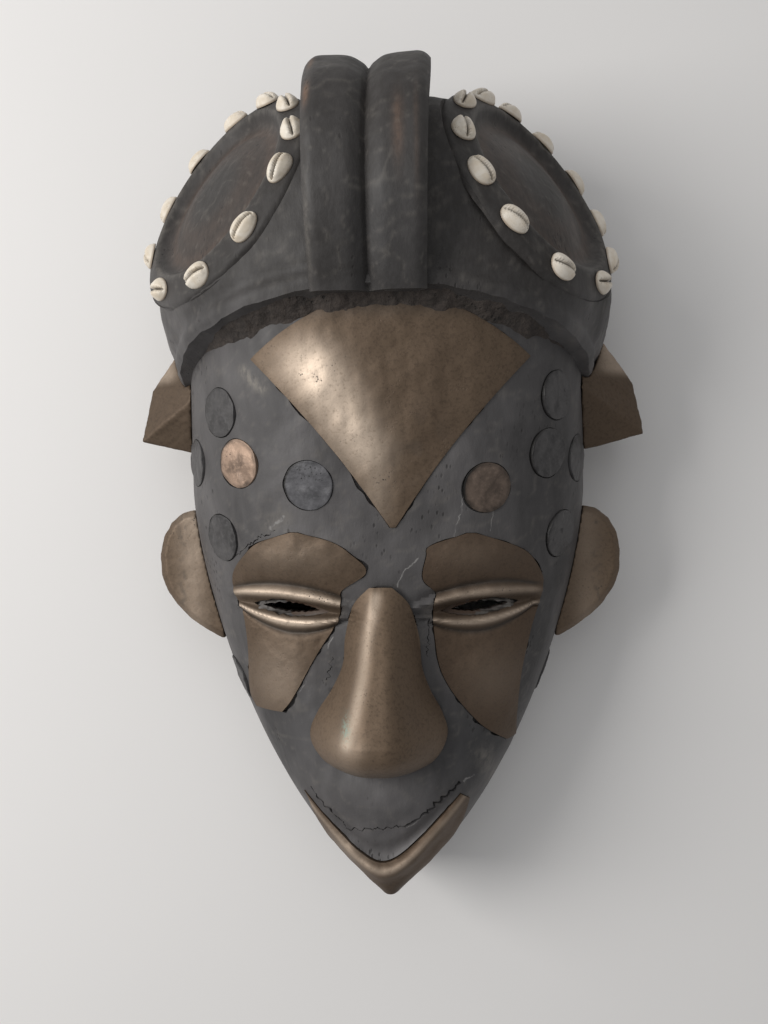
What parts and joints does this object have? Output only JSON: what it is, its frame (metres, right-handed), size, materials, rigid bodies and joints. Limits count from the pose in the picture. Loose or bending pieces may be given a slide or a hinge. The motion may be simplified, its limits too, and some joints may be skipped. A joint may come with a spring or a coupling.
{
  "type": "wall mask",
  "caption": "Carved dark wooden face mask with inlaid brass plates, metal studs, a double crest and shell-rimmed medallions, hollow behind",
  "frame": {"origin": "Middle of the bounding box in plan, in the plane of the flat back rim that the mask lies on", "axes": "+Y from the chin to the crown, +Z out of the face, +X to the viewer's right when the face is looked at"},
  "size_m": [0.3098, 0.4869, 0.189],
  "materials": {
    "dark_wood": "carved wood, blackened and waxed, with worn brown edges",
    "brass_plate": "aged brass sheet, dull brown with rubbed bright patches",
    "brass_fitting": "aged brass, pitted and dull",
    "copper_stud": "tarnished copper",
    "dark_stud": "dark grey tarnished metal",
    "shell": "cowrie shell, cream, half gloss"
  },
  "bodies": {
    "root": {"mask_body": "dark_wood", "forehead_plate": "brass_plate", "left_eye_plate": "brass_plate", "right_eye_plate": "brass_plate", "nose": "brass_plate", "lower_lip": "brass_plate", "left_ear": "brass_fitting", "left_horn": "brass_fitting", "right_ear": "brass_fitting", "right_horn": "brass_fitting", "left_stud_1": "dark_stud", "left_stud_2": "copper_stud", "left_stud_3": "dark_stud", "left_stud_4": "dark_stud", "left_stud_5": "dark_stud", "left_stud_6": "dark_stud", "right_stud_1": "copper_stud", "right_stud_2": "dark_stud", "right_stud_3": "dark_stud", "right_stud_4": "dark_stud", "right_stud_5": "dark_stud", "right_stud_6": "dark_stud", "left_cowrie_1": "shell", "left_cowrie_2": "shell", "left_cowrie_3": "shell", "left_cowrie_4": "shell", "left_cowrie_5": "shell", "left_cowrie_6": "shell", "left_cowrie_7": "shell", "left_cowrie_8": "shell", "left_cowrie_9": "shell", "left_cowrie_10": "shell", "left_cowrie_11": "shell", "right_cowrie_1": "shell", "right_cowrie_2": "shell", "right_cowrie_3": "shell", "right_cowrie_4": "shell", "right_cowrie_5": "shell", "right_cowrie_6": "shell", "right_cowrie_7": "shell", "right_cowrie_8": "shell", "right_cowrie_9": "shell", "right_cowrie_10": "shell", "right_cowrie_11": "shell", "right_cowrie_12": "shell"}
  },
  "joints": []
}
